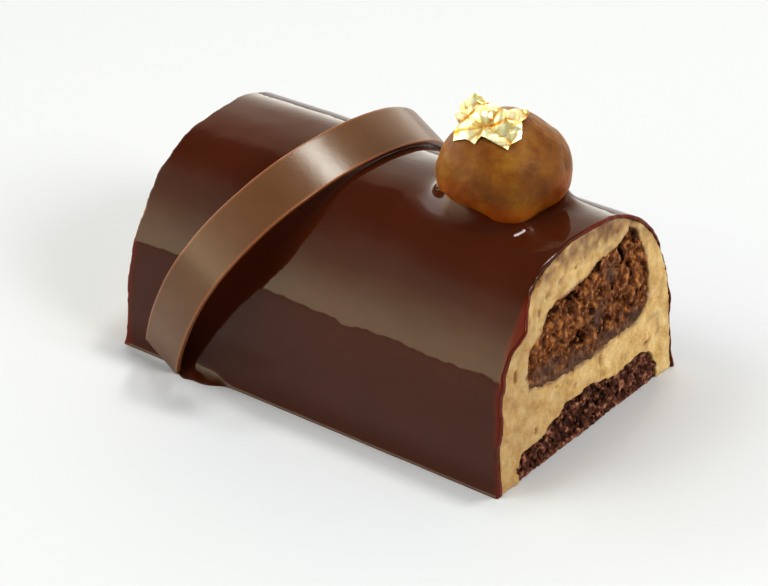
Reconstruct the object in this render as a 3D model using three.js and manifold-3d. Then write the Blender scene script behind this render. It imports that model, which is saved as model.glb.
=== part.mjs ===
// A yule log cake for one or two: a slice of a glazed mousse log, cut at both ends.
// Millimetres, +Z up, +X along the log towards the cut next to the chestnut,
// +Y across the log, origin in the middle of the underside.

import * as THREE from 'three';
import { mergeVertices } from 'three/addons/utils/BufferGeometryUtils.js';
import Module from 'manifold-3d';

const wasm = await Module();
wasm.setup();

// Clearance between pieces that touch
const GAP = 0.3;

// Log, measured over its glaze
const LENGTH = 92;            // from cut to cut along the table
const WIDTH = 60;
const HEIGHT = 43;
const WALL = 7.7;             // upright foot of each side, below the arched top
const ROUNDNESS = 2.33;       // exponent of the arched top, where 2 is an ellipse
const CUT_LEAN = { far: 0.03, shown: 0.057 };   // how far each cut leans in per millimetre of height
const SWELL = 0.35;           // slow unevenness of the sides
const ARCH_STEPS = 24;        // facets over the arched top

// Glaze
const GLAZE = 1.3;            // thickness
const GLAZE_FOOT = 0.4;       // stops this far above the table
const GLAZE_STATIONS = 28;    // rows of facets along the log
const RIM_WAVE = 0.85;        // raggedness of the glaze along both cuts
const SKIRT = { far: 1.3, shown: 0.3, fall: 4.5 };    // glaze run out past the cuts at the table
const LIP = { y: -22.5, z: 33, reach: 1.7, size: 4.5 };   // tongue of glaze on the shown cut

// Sponge block inside the mousse, as its upper and lower outline [y, z]
const SPONGE_TOP = [
  [-19.4, 20.5], [-19.0, 25.2], [-17.2, 26.8], [-14.8, 28.0], [-12.9, 31.2], [-9.8, 32.5], [-4.9, 32.3],
  [0.5, 33.0], [3.7, 34.3], [10.2, 35.1], [13.0, 36.4], [14.8, 37.4], [16.8, 36.0], [18.6, 32.8],
  [20.3, 29.4], [21.3, 24.5],
];
const SPONGE_BOTTOM = [
  [-19.4, 18.3], [-15.1, 16.9], [-12.0, 16.5], [-6.0, 15.7], [1.2, 15.2], [7.0, 15.8], [12.9, 15.8],
  [18.2, 15.5], [21.3, 18.4],
];
const SPONGE_CRAG = 1.5;      // depth of its torn pores

// Crunchy base, lying on the table inside the mousse, as its upper outline [y, z]
const BASE_TOP = [
  [-23.2, 2.6], [-22.2, 5.7], [-16.2, 6.1], [-13.6, 7.5], [-10.2, 7.9], [-7.2, 9.3], [-3.4, 9.1],
  [1.2, 9.3], [5.6, 8.4], [9.6, 7.1], [12.6, 7.6], [18.0, 8.5], [22.0, 7.0], [24.2, 3.2],
];
const BASE_LUMP = 1.0;        // size of its lumps

// Candied chestnut, pressed into the ridge
const CHESTNUT = { x: 22.7, y: 2.3, z: 48.9, radiusX: 12.5, radiusY: 12.5, radiusZ: 10.9 };
const CHESTNUT_SLANT = { x: 0.64, y: 0.48 };    // how far its top sits to one side of its middle
const CHESTNUT_LUMP = 0.045;  // unevenness, as a share of its radius
const CHESTNUT_DETAIL = 6;
const COLLAR = { rise: 2.6, fall: 1.9, radius: 11.9, extra: 0.35 };    // glaze drawn up around it
const COLLAR_HIGH_SIDE = { x: -0.8, y: -0.6 };

// Gold leaf, crumpled over the chestnut's top
const LEAF = { along: -1.9, across: -2.2, halfLength: 6.8, halfWidth: 5.9, thickness: 0.3 };
const LEAF_TURN = THREE.MathUtils.degToRad(37);
const LEAF_RINGS = 5;
const LEAF_SECTORS = 24;
const LEAF_REST = 0.35;       // lowest clearance over the chestnut
const LEAF_FOLD = 1.9;        // height of its folds
const LEAF_PEAK = { along: -4.6, across: 1.6, rise: 3.4, size: 2.4 };

// Chocolate arch over the log, a strip in a plane that leans towards the shown cut
const ARCH = {
  footX: -36.6, footY: -35.9, halfSpan: 35.7, leg: 22.5, rise: 30.2, roundness: 2.1,
  toeIn: 4.4, width: 9.9, thickness: 1.2, steps: 34, legSteps: 5,
};
const ARCH_TURN = THREE.MathUtils.degToRad(5.5);
const ARCH_LEAN = THREE.MathUtils.degToRad(27.9);

// Colours from the photo
const COLOURS = {
  glaze: '#3a1d17', mousse: '#b98f5f', sponge: '#4a2a1c', base: '#4b2f29',
  arch: '#6d4c39', chestnut: '#8a5a2c', leaf: '#e9bb3c',
};

// Noise: smooth between grid points, from -1 to 1, and the same in every run.

function gridValue(i, j, k) {
  const wave = Math.sin(i * 127.1 + j * 311.7 + k * 74.7) * 43758.5453;
  return (wave - Math.floor(wave)) * 2 - 1;
}

function noise(x, y, z) {
  const [i, j, k] = [Math.floor(x), Math.floor(y), Math.floor(z)];
  const [u, v, w] = [x - i, y - j, z - k].map((t) => t * t * (3 - 2 * t));
  const mix = THREE.MathUtils.lerp;
  const edge = (dj, dk) => mix(gridValue(i, j + dj, k + dk), gridValue(i + 1, j + dj, k + dk), u);
  return mix(mix(edge(0, 0), edge(1, 0), v), mix(edge(0, 1), edge(1, 1), v), w);
}

// Two sizes of noise together, `scale` millimetres and a little under half of that.
function rough(y, z, scale, seed) {
  return 0.68 * noise(y / scale, z / scale, seed)
    + 0.32 * noise(y / (scale * 0.43), z / (scale * 0.43), seed + 5.3);
}

// Height at y on a line through points [y, z].
function heightOn(points, y) {
  const last = points.length - 1;
  if (y <= points[0][0]) return points[0][1];
  if (y >= points[last][0]) return points[last][1];
  const next = points.findIndex((point) => point[0] >= y);
  const [y0, z0] = points[next - 1];
  const [y1, z1] = points[next];
  return THREE.MathUtils.mapLinear(y, y0, y1, z0, z1);
}

function steps(from, to, count) {
  return Array.from({ length: count + 1 }, (_, i) => from + ((to - from) * i) / count);
}

// Closed bodies

// Skins a row of loops, all with the same number of points, and closes both ends by a fan.
function loft(loops) {
  const size = loops[0].length;
  const ends = [loops[0], loops[loops.length - 1]].map((loop) => {
    const middle = new THREE.Vector3();
    loop.forEach((point) => middle.add(point));
    return middle.divideScalar(size);
  });
  const points = [...loops.flat(), ...ends];
  const faces = [];
  for (let row = 0; row < loops.length - 1; row += 1) {
    for (let i = 0; i < size; i += 1) {
      const a = row * size + i;
      const b = row * size + ((i + 1) % size);
      faces.push(a, b, b + size, a, b + size, a + size);
    }
  }
  const first = loops.length * size;
  const lastRow = first - size;
  for (let i = 0; i < size; i += 1) {
    const next = (i + 1) % size;
    faces.push(first, next, i, first + 1, lastRow + i, lastRow + next);
  }
  return closedGeometry(points, faces);
}

function closedGeometry(points, faces) {
  const geometry = new THREE.BufferGeometry();
  geometry.setFromPoints(points);
  geometry.setIndex(faces);
  return volumeOf(geometry) < 0 ? closedGeometry(points, [...faces].reverse()) : geometry;
}

function volumeOf(geometry) {
  const { position } = geometry.attributes;
  const corners = [0, 1, 2].map(() => new THREE.Vector3());
  let sum = 0;
  for (let i = 0; i < geometry.index.count; i += 3) {
    corners.forEach((corner, c) => corner.fromBufferAttribute(position, geometry.index.getX(i + c)));
    sum += corners[0].dot(corners[1].clone().cross(corners[2])) / 6;
  }
  return sum;
}

function toSolid(geometry) {
  const bare = geometry.clone();
  bare.deleteAttribute('normal');
  bare.deleteAttribute('uv');
  const merged = mergeVertices(bare, 1e-4);
  return new wasm.Manifold(new wasm.Mesh({
    numProp: 3,
    vertProperties: new Float32Array(merged.attributes.position.array),
    triVerts: new Uint32Array(merged.index.array),
  }));
}

function toGeometry(solid) {
  const mesh = solid.getMesh();
  const geometry = new THREE.BufferGeometry();
  geometry.setAttribute('position', new THREE.BufferAttribute(mesh.vertProperties, mesh.numProp));
  geometry.setIndex(new THREE.BufferAttribute(mesh.triVerts, 1));
  return geometry;
}

// The log's outline and its cuts

// A point of the outline, `inset` under the glaze's surface: angle 0 is the near side.
function archPoint(angle, inset) {
  const power = 2 / ROUNDNESS;
  const side = -Math.cos(angle);
  return {
    y: (WIDTH / 2 - inset) * Math.sign(side) * Math.abs(side) ** power,
    z: WALL + (HEIGHT - WALL - inset) * Math.abs(Math.sin(angle)) ** power,
  };
}

// The slow swell of the sides, outwards, at a place along the log and around it.
function swell(x, angle) {
  return SWELL * noise(x / 24 + 3.1, angle * 2.2, 8.7);
}

// Where each cut runs: end is 1 for the shown cut and -1 for the far one.
function cutX(end, y, z) {
  const lip = LIP.reach * Math.exp(-((y - LIP.y) ** 2 + (z - LIP.z) ** 2) / LIP.size ** 2);
  const lean = LENGTH / 2 - (end > 0 ? CUT_LEAN.shown : CUT_LEAN.far) * z;
  return end * (lean + 0.3 * noise(y / 9, z / 9, end * 3.7) + (end > 0 ? lip : 0));
}

// A body that fills the log from cut to cut. It is a row of slices across the log, each a
// loop up the far cut, along the top, down the shown cut and back along the bottom.
function layer({ across, low, high, rows, stations, relief, liftTop = () => 0 }) {
  const faceX = (end, y, z) => cutX(end, y, z) + end * relief(end, y, z);
  const loops = across.map((y) => {
    const heights = steps(low(y), high(y), rows);
    const farCut = heights.map((z) => new THREE.Vector3(faceX(-1, y, z), y, z));
    const shownCut = heights.map((z) => new THREE.Vector3(faceX(1, y, z), y, z)).reverse();
    const run = (z, lift) => steps(faceX(-1, y, z), faceX(1, y, z), stations)
      .slice(1, -1)
      .map((x) => new THREE.Vector3(x, y, z + lift(x, y)));
    const top = run(high(y), liftTop);
    const bottom = run(low(y), () => 0).reverse();
    return [...farCut, ...top, ...shownCut, ...bottom];
  });
  return loft(loops);
}

// The seat for a filling: its outline grown by the gap, straight through the log.
function seat(across, low, high) {
  const outline = [
    ...across.map((y) => new THREE.Vector2(y, low(y))),
    ...across.map((y) => new THREE.Vector2(y, high(y))).reverse(),
  ];
  const grown = outline.map((point, i) => {
    const before = outline[(i + outline.length - 1) % outline.length];
    const after = outline[(i + 1) % outline.length];
    const way = after.clone().sub(before).normalize();
    return new THREE.Vector2(point.x + way.y * GAP * 1.2, point.y - way.x * GAP * 1.2);
  });
  const geometry = new THREE.ExtrudeGeometry(new THREE.Shape(grown), {
    depth: LENGTH * 1.2, bevelEnabled: false,
  });
  geometry.translate(0, 0, -LENGTH * 0.6);
  geometry.rotateX(Math.PI / 2).rotateZ(Math.PI / 2);
  return geometry;
}

// Sponge

const spongeAcross = steps(-19.4, 21.3, 36);
const spongeLow = (y) => heightOn(SPONGE_BOTTOM, y) + 0.25 * noise(y / 2.2, 1.5, 0);
const spongeHigh = (y) => heightOn(SPONGE_TOP, y) + 0.45 * noise(y / 1.9, 7.5, 0);

// Torn pores: pits reach much further in than the crumb stands out.
function spongeRelief(end, y, z) {
  const pores = rough(y, z, 2.6, end * 11.3 + 40);
  return -0.35 + SPONGE_CRAG * (pores < 0 ? pores : 0.45 * pores);
}

function makeSponge() {
  return layer({
    across: spongeAcross, low: spongeLow, high: spongeHigh, rows: 11, stations: 3,
    relief: spongeRelief,
  });
}

// Crunchy base

const baseAcross = steps(-23.2, 24.2, 36);
const baseLow = () => 0;
const baseHigh = (y) => heightOn(BASE_TOP, y) + 0.55 * noise(y / 1.8, 3.5, 2);

function makeBase() {
  return layer({
    across: baseAcross, low: baseLow, high: baseHigh, rows: 5, stations: 3,
    relief: (end, y, z) => -0.2 + BASE_LUMP * rough(y, z, 2.2, end * 6.1 + 90),
  });
}

// Mousse, around both fillings and under the glaze

function makeMousse(chestnutSeat) {
  const inset = GLAZE + GAP;
  const outline = steps(0, Math.PI, ARCH_STEPS).map((angle) => ({ angle, ...archPoint(angle, inset) }));
  const middle = steps(-0.5, 0.5, 4).map((share) => share * outline[0].y);
  const top = outline.map(({ y, z }) => [y, z]);
  const body = layer({
    across: [...new Set([...outline.map((point) => point.y), ...middle])].sort((a, b) => a - b),
    low: () => 0,
    high: (y) => heightOn(top, y),
    rows: 12,
    stations: 8,
    relief: (end, y, z) => -0.1 + 0.22 * rough(y, z, 4.1, end * 4.4 + 20),
    liftTop: (x, y) => swell(x, angleAt(y, inset)) * 0.8,
  });
  return toSolid(body)
    .subtract(toSolid(seat(spongeAcross, spongeLow, spongeHigh)))
    .subtract(toSolid(seat(baseAcross, () => -1, baseHigh)))
    .subtract(chestnutSeat);
}

function angleAt(y, inset) {
  const share = THREE.MathUtils.clamp(-y / (WIDTH / 2 - inset), -1, 1);
  return Math.acos(Math.sign(share) * Math.abs(share) ** (ROUNDNESS / 2));
}

// Glaze

// How far the glaze is drawn up around the chestnut at a place on the ridge.
function collar(x, y) {
  const [dx, dy] = [x - CHESTNUT.x, y - CHESTNUT.y];
  const reach = Math.hypot(dx, dy);
  const side = (dx * COLLAR_HIGH_SIDE.x + dy * COLLAR_HIGH_SIDE.y) / Math.max(reach, 1);
  const rise = COLLAR.rise * (1 + COLLAR.extra * side);
  return rise * Math.exp(-Math.max(reach - COLLAR.radius, 0) / COLLAR.fall);
}

// Columns run from the near foot over the top to the far foot.
function glazeColumns() {
  const wallHeights = [GLAZE_FOOT, WALL * 0.5];
  const near = wallHeights.map((z) => ({ angle: 0, z, wall: -1 }));
  const arch = steps(0, Math.PI, ARCH_STEPS).map((angle) => ({ angle }));
  const far = [...wallHeights].reverse().map((z) => ({ angle: Math.PI, z, wall: 1 }));
  return [...near, ...arch, ...far];
}

// A point of the outer or inner surface, `share` of the way from the far cut to the shown one.
function glazePoint({ angle, z, wall }, share, depth) {
  const flat = wall
    ? { y: wall * (WIDTH / 2 - depth), z }
    : archPoint(angle, depth);
  const rim = (end, reach) => cutX(end, flat.y, flat.z)
    + end * reach * Math.exp(-flat.z / SKIRT.fall)
    + end * RIM_WAVE * rough(flat.y, flat.z, 5.2, end * 2.9 + 60);
  const farRim = rim(-1, SKIRT.far);
  const shownRim = rim(1, SKIRT.shown);
  const x = THREE.MathUtils.lerp(farRim, shownRim, share);
  const out = wall ? 0 : swell(x, angle) * Math.sin(angle);
  const lift = depth === 0 ? collar(x, flat.y) : 0;
  return new THREE.Vector3(
    x,
    flat.y - Math.cos(angle) * out,
    flat.z + Math.sin(angle) * out + lift,
  );
}

// Stations along the log, closer together at both rims and around the chestnut.
function glazeShares() {
  return steps(0, 1, GLAZE_STATIONS).map((t) => t - Math.sin(2 * Math.PI * t) * 0.045);
}

function makeGlaze(chestnutSeat) {
  const shares = glazeShares();
  const loops = glazeColumns().map((column) => [
    ...shares.map((share) => glazePoint(column, share, 0)),
    ...[...shares].reverse().map((share) => glazePoint(column, share, GLAZE)),
  ]);
  return toSolid(loft(loops)).subtract(chestnutSeat);
}

// Candied chestnut

// A point of the chestnut's skin in direction `way`, `grow` further out.
function chestnutPoint(way, grow) {
  const { x: u, y: v, z: w } = way;
  const lumps = 1 + CHESTNUT_LUMP * noise(u * 1.4 + 4, v * 1.4 + 4, w * 1.4 + 9)
    + CHESTNUT_LUMP * 0.35 * noise(u * 4 + 4, v * 4 + 4, w * 4 + 2);
  return new THREE.Vector3(
    CHESTNUT.x + (CHESTNUT.radiusX * lumps + grow) * u + CHESTNUT_SLANT.x * w,
    CHESTNUT.y + (CHESTNUT.radiusY * lumps + grow) * v + CHESTNUT_SLANT.y * w,
    CHESTNUT.z + (CHESTNUT.radiusZ * lumps + grow) * w,
  );
}

function makeChestnut(grow = 0) {
  const geometry = mergeVertices(bareSphere(), 1e-4);
  const { position } = geometry.attributes;
  const way = new THREE.Vector3();
  for (let i = 0; i < position.count; i += 1) {
    way.fromBufferAttribute(position, i).normalize();
    const point = chestnutPoint(way, grow);
    position.setXYZ(i, point.x, point.y, point.z);
  }
  return geometry;
}

function bareSphere() {
  const geometry = new THREE.IcosahedronGeometry(1, CHESTNUT_DETAIL);
  geometry.deleteAttribute('normal');
  geometry.deleteAttribute('uv');
  return geometry;
}

// Gold leaf

// A point of the leaf: radius 0 to 1 from its middle, both faces split alike.
function leafPoint(radius, angle, height) {
  const ragged = 0.9 + 0.16 * noise(Math.cos(angle) * 2.1 + 5, Math.sin(angle) * 2.1 + 5, 3.3);
  const along = LEAF.along + LEAF.halfLength * radius * ragged * Math.cos(angle);
  const across = LEAF.across + LEAF.halfWidth * radius * ragged * Math.sin(angle);
  const x = along * Math.cos(LEAF_TURN) - across * Math.sin(LEAF_TURN);
  const y = along * Math.sin(LEAF_TURN) + across * Math.cos(LEAF_TURN);
  const [u, v] = [x / CHESTNUT.radiusX, y / CHESTNUT.radiusY];
  const way = new THREE.Vector3(u, v, Math.sqrt(Math.max(1 - u * u - v * v, 0.05))).normalize();
  const fromPeak = Math.hypot(along - LEAF_PEAK.along, across - LEAF_PEAK.across);
  const fold = LEAF_FOLD * Math.abs(noise(along / 2.3, across / 1.7, 12.4))
    + LEAF_PEAK.rise * Math.exp(-((fromPeak / LEAF_PEAK.size) ** 2));
  return chestnutPoint(way, LEAF_REST + fold + height);
}

function makeLeaf() {
  const sectors = steps(0, 2 * Math.PI, LEAF_SECTORS).slice(0, -1);
  const radii = steps(0.12, 1, LEAF_RINGS);
  const ring = (height) => (radius) => sectors.map((angle) => leafPoint(radius, angle, height));
  const under = radii.map(ring(0));
  const over = radii.map(ring(LEAF.thickness)).reverse();
  return loft([...under, ...over]);
}

// Chocolate arch

// The arch's plane: across the log, up the lean, and along the strip's width.
function archAxes() {
  const across = new THREE.Vector3(Math.sin(ARCH_TURN), Math.cos(ARCH_TURN), 0);
  const width = new THREE.Vector3(
    Math.cos(ARCH_TURN) * Math.cos(ARCH_LEAN),
    -Math.sin(ARCH_TURN) * Math.cos(ARCH_LEAN),
    -Math.sin(ARCH_LEAN),
  );
  return { across, width, up: width.clone().cross(across) };
}

// The strip's outer line in its plane: two legs that toe in, joined by a rounded top.
function archLine() {
  const { halfSpan, leg, rise, roundness, toeIn, width } = ARCH;
  const start = (width / 2) * Math.tan(ARCH_LEAN);
  const legHeights = steps(start, leg, ARCH.legSteps).slice(0, -1);
  const toe = (height) => toeIn * ((leg - height) / leg) ** 2;
  const near = legHeights.map((height) => new THREE.Vector2(toe(height), height));
  const top = steps(0, Math.PI, ARCH.steps).map((angle) => {
    const side = Math.cos(angle);
    const reach = Math.sign(side) * Math.abs(side) ** (2 / roundness);
    return new THREE.Vector2(halfSpan * (1 - reach), leg + rise * Math.sin(angle) ** (2 / roundness));
  });
  const far = legHeights.map((height) => new THREE.Vector2(2 * halfSpan - toe(height), height));
  return [...near, ...top, ...far.reverse()];
}

function makeArch() {
  const { across, width, up } = archAxes();
  const foot = new THREE.Vector3(ARCH.footX, ARCH.footY, 0);
  const line = archLine();
  const loops = line.map((point, i) => {
    const way = line[Math.min(i + 1, line.length - 1)].clone()
      .sub(line[Math.max(i - 1, 0)]).normalize();
    const place = (side, depth) => foot.clone()
      .addScaledVector(width, (side * ARCH.width) / 2)
      .addScaledVector(across, point.x + way.y * depth)
      .addScaledVector(up, point.y - way.x * depth);
    return [place(-1, 0), place(1, 0), place(1, ARCH.thickness), place(-1, ARCH.thickness)];
  });
  return loft(loops);
}

// The cake

function piece(name, geometry, color, roughness, metalness = 0) {
  geometry.computeVertexNormals();
  const material = new THREE.MeshStandardMaterial({ color, roughness, metalness, name });
  const mesh = new THREE.Mesh(geometry, material);
  mesh.name = name;
  return mesh;
}

const chestnutSeat = toSolid(makeChestnut(GAP));

const cake = new THREE.Group();
cake.add(
  piece('glaze', toGeometry(makeGlaze(chestnutSeat)), COLOURS.glaze, 0.08),
  piece('mousse', toGeometry(makeMousse(chestnutSeat)), COLOURS.mousse, 0.8),
  piece('sponge', makeSponge(), COLOURS.sponge, 0.95),
  piece('crunchy_base', makeBase(), COLOURS.base, 0.85),
  piece('chocolate_arch', makeArch(), COLOURS.arch, 0.35),
  piece('chestnut', makeChestnut(), COLOURS.chestnut, 0.3),
  piece('gold_leaf', makeLeaf(), COLOURS.leaf, 0.25, 1),
);

export default cake;
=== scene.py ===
"""Looks of a yule log cake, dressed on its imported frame. Shapes are worked out in millimetres."""
import math

import bmesh
import bpy
import numpy as np
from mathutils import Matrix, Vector


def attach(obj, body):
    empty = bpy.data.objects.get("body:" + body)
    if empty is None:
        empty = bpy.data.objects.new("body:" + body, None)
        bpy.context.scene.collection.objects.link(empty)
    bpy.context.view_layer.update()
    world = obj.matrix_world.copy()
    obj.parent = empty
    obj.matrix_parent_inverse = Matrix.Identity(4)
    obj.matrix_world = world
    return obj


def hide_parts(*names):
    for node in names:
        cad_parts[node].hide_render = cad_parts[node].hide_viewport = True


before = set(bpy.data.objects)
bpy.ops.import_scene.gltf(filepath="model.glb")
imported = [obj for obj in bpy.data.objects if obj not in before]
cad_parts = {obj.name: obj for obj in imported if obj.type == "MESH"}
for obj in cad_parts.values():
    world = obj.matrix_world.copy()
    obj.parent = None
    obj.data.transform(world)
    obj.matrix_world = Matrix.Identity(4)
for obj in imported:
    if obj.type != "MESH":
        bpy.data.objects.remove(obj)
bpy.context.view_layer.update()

MM = 0.001

# Driving sizes of the solids, repeated from the part's source
LENGTH = 92.0
WIDTH = 60.0
HEIGHT = 43.0
WALL = 7.7
ROUNDNESS = 2.33
CUT_LEAN_FAR, CUT_LEAN_SHOWN = 0.03, 0.057
CUT_WAVE, CUT_WAVE_LENGTH = 0.3, 9
SWELL, SWELL_LENGTH = 0.35, 24
GLAZE = 1.3
RIM_WAVE, RIM_WAVE_LENGTH = 0.85, 5.2
SKIRT_FAR, SKIRT_SHOWN, SKIRT_FALL = 1.3, 0.3, 4.5
LIP_Y, LIP_Z, LIP_REACH, LIP_SIZE = -22.5, 33.0, 1.7, 4.5
SPONGE_TOP = [
    (-19.4, 20.5), (-19.0, 25.2), (-17.2, 26.8), (-14.8, 28.0), (-12.9, 31.2), (-9.8, 32.5),
    (-4.9, 32.3), (0.5, 33.0), (3.7, 34.3), (10.2, 35.1), (13.0, 36.4), (14.8, 37.4), (16.8, 36.0),
    (18.6, 32.8), (20.3, 29.4), (21.3, 24.5),
]
SPONGE_BOTTOM = [
    (-19.4, 18.3), (-15.1, 16.9), (-12.0, 16.5), (-6.0, 15.7), (1.2, 15.2), (7.0, 15.8),
    (12.9, 15.8), (18.2, 15.5), (21.3, 18.4),
]
BASE_TOP = [
    (-23.2, 2.6), (-22.2, 5.7), (-16.2, 6.1), (-13.6, 7.5), (-10.2, 7.9), (-7.2, 9.3), (-3.4, 9.1),
    (1.2, 9.3), (5.6, 8.4), (9.6, 7.1), (12.6, 7.6), (18.0, 8.5), (22.0, 7.0), (24.2, 3.2),
]
CHESTNUT = np.array([22.7, 2.3, 48.9])
CHESTNUT_RADII = np.array([12.5, 12.5, 10.9])
CHESTNUT_SLANT = np.array([0.64, 0.48, 0.0])
CHESTNUT_LUMP, CHESTNUT_SMALL_LUMP = 0.045, 0.35
ARCH_FOOT = np.array([-36.6, -35.9, 0.0])
ARCH_HALF_SPAN, ARCH_LEG, ARCH_RISE, ARCH_ROUNDNESS, ARCH_TOE_IN = 35.7, 22.5, 30.2, 2.1, 4.4
ARCH_WIDTH, ARCH_THICKNESS = 9.9, 1.2
ARCH_TURN, ARCH_LEAN = math.radians(5.5), math.radians(27.9)

# Camera, at the photograph's viewing angle
CAMERA_AZIMUTH, CAMERA_ELEVATION = math.radians(37.33), math.radians(29.92)
CAMERA_TARGET = Vector((3.58, -9.65, 20.0)) * MM
CAMERA_DISTANCE = 540.4 * MM
CAMERA_LENS, CAMERA_SENSOR = 129.84, 36.0


def direction(azimuth, elevation):
    """The unit direction of an azimuth and an elevation, both in radians."""
    flat = math.cos(elevation)
    return math.sin(azimuth) * flat, -math.cos(azimuth) * flat, math.sin(elevation)


# Noise, the same as the solids': smooth between grid points, from -1 to 1

HASH_X, HASH_Y, HASH_Z, HASH_GAIN = 127.1, 311.7, 74.7, 43758.5453
COARSE_SHARE, FINE_SHARE, FINE_SCALE, FINE_SEED = 0.68, 0.32, 0.43, 5.3
OCTAVE_SHARE, OCTAVE_SHIFT = 0.55, 17.3


def grid_value(i, j, k):
    wave = np.sin(i * HASH_X + j * HASH_Y + k * HASH_Z) * HASH_GAIN
    return (wave - np.floor(wave)) * 2 - 1


def noise(x, y, z):
    x, y, z = np.broadcast_arrays(*[np.asarray(v, float) for v in (x, y, z)])
    i, j, k = np.floor(x), np.floor(y), np.floor(z)
    u, v, w = [t * t * (3 - 2 * t) for t in (x - i, y - j, z - k)]
    total = 0.0
    for di, wi in ((0, 1 - u), (1, u)):
        for dj, wj in ((0, 1 - v), (1, v)):
            for dk, wk in ((0, 1 - w), (1, w)):
                total = total + wi * wj * wk * grid_value(i + di, j + dj, k + dk)
    return total


def wave(y, z, height, scale, seed):
    """Noise over a cut, up to `height` and of about `scale` millimetres."""
    return height * noise(y / scale, z / scale, seed)


def rough(y, z, scale, seed):
    """Two sizes of noise together, scale millimetres and a little under half of that."""
    fine = scale * FINE_SCALE
    return (wave(y, z, COARSE_SHARE, scale, seed)
            + wave(y, z, FINE_SHARE, fine, seed + FINE_SEED))


def layers_of_noise(x, y, z, scale, octaves, seed):
    """Noise in space whose octaves halve in size, from about -1 to 1."""
    total, share = 0.0, 1.0
    for octave in range(octaves):
        size = scale / 2 ** octave
        shift = seed + OCTAVE_SHIFT * octave
        total = total + share * noise(x / size + shift, y / size - shift, z / size + 2 * shift)
        share *= OCTAVE_SHARE
    return total


def spot(u, v, centre_u, centre_v, half_u, half_v):
    """A soft spot: 1 at its centre, fading out beyond its half sizes."""
    return np.exp(-((u - centre_u) / half_u) ** 2 - ((v - centre_v) / half_v) ** 2)


# Meshes

def new_object(name, data):
    obj = bpy.data.objects.new(name, data)
    bpy.context.scene.collection.objects.link(obj)
    return obj


def new_piece(name, points, faces, material, node, attributes, smooth=True):
    """A closed mesh from points in millimetres, which stands for a CAD node."""
    faces = np.asarray(outward(points, faces), np.int32)
    points = np.asarray(points, np.float32) * MM
    mesh = bpy.data.meshes.new(name)
    count, sides = faces.shape
    mesh.vertices.add(len(points))
    mesh.vertices.foreach_set("co", points.ravel())
    mesh.loops.add(count * sides)
    mesh.loops.foreach_set("vertex_index", faces.ravel())
    mesh.polygons.add(count)
    mesh.polygons.foreach_set("loop_start", np.arange(0, count * sides, sides, dtype=np.int32))
    mesh.polygons.foreach_set("use_smooth", np.full(count, smooth))
    mesh.update(calc_edges=True)
    mesh.validate()
    for key, values in attributes.items():
        layer = mesh.attributes.new(key, "FLOAT", "POINT")
        layer.data.foreach_set("value", np.asarray(values, np.float32).ravel())
    mesh.materials.append(material)
    obj = new_object(name, mesh)
    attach(obj, "root")
    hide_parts(node)


def outward(points, faces):
    """The faces turned round if the closed mesh is inside out."""
    volume = 0.0
    for k in range(2, faces.shape[1]):
        a, b, c = [points[faces[:, i]] for i in (0, k - 1, k)]
        volume += np.einsum("ij,ij->i", a, np.cross(b, c)).sum()
    return faces if volume > 0 else faces[:, ::-1]


def tube_faces(loops, size):
    """Quads round a row of closed loops, each with `size` points."""
    row, i = np.meshgrid(np.arange(loops - 1), np.arange(size), indexing="ij")
    a, b = row * size + i, row * size + (i + 1) % size
    return np.stack([a, b, b + size, a + size], -1).reshape(-1, 4)


def cap_fold(size, start):
    """Quads that zip a closed loop flat, for a loop whose two halves run side by side."""
    half = size // 2
    i = np.arange(half - 1)
    return np.stack([start + i, start + i + 1, start + size - 2 - i, start + size - 1 - i], -1)


def folded_tube(loops, size):
    """Quads round a row of such loops and over both of its ends."""
    last = (loops - 1) * size
    return np.concatenate([tube_faces(loops, size), cap_fold(size, 0)[:, ::-1],
                           cap_fold(size, last)])


def net(level, xs, ys, zs):
    """A closed mesh round the places where level is above zero: a point in each cell it crosses."""
    inside = level > 0
    shape = np.array(inside.shape) - 1
    count = np.zeros(shape, np.int8)
    for corner in np.ndindex(2, 2, 2):
        count += inside[tuple(slice(c, c + n) for c, n in zip(corner, shape))]
    active = (count > 0) & (count < 8)
    index = np.full(shape, -1, np.int64)
    index[active] = np.arange(active.sum())
    cell = np.argwhere(active)
    total = np.zeros((len(cell), 3))
    hits = np.zeros(len(cell))
    axes = (xs, ys, zs)
    for axis in range(3):
        others = [o for o in range(3) if o != axis]
        for near in np.ndindex(2, 2):
            start = cell.copy()
            start[:, others] += near
            end = start.copy()
            end[:, axis] += 1
            a, b = level[tuple(start.T)], level[tuple(end.T)]
            crossed = (a > 0) != (b > 0)
            share = a[crossed] / (a[crossed] - b[crossed])
            first = np.stack([axes[o][start[crossed, o]] for o in range(3)], -1)
            last = np.stack([axes[o][end[crossed, o]] for o in range(3)], -1)
            total[crossed] += first + share[:, None] * (last - first)
            hits[crossed] += 1
    faces = []
    for axis in range(3):
        one, two = [o for o in range(3) if o != axis]
        along = np.moveaxis(inside, axis, 0)
        changed = np.argwhere(along[:-1] != along[1:])
        edge = np.zeros_like(changed)
        edge[:, axis], edge[:, one], edge[:, two] = changed.T
        keep = (edge[:, one] > 0) & (edge[:, two] > 0)
        keep &= (edge[:, one] < shape[one]) & (edge[:, two] < shape[two])
        edge = edge[keep]
        corners = []
        for d_one, d_two in ((1, 1), (0, 1), (0, 0), (1, 0)):
            at = edge.copy()
            at[:, one] -= d_one
            at[:, two] -= d_two
            corners.append(index[tuple(at.T)])
        quad = np.stack(corners, -1)
        flip = inside[tuple(edge.T)] == (axis == 1)
        quad[flip] = quad[flip][:, ::-1]
        faces.append(quad)
    return total / hits[:, None], np.concatenate(faces)


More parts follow.
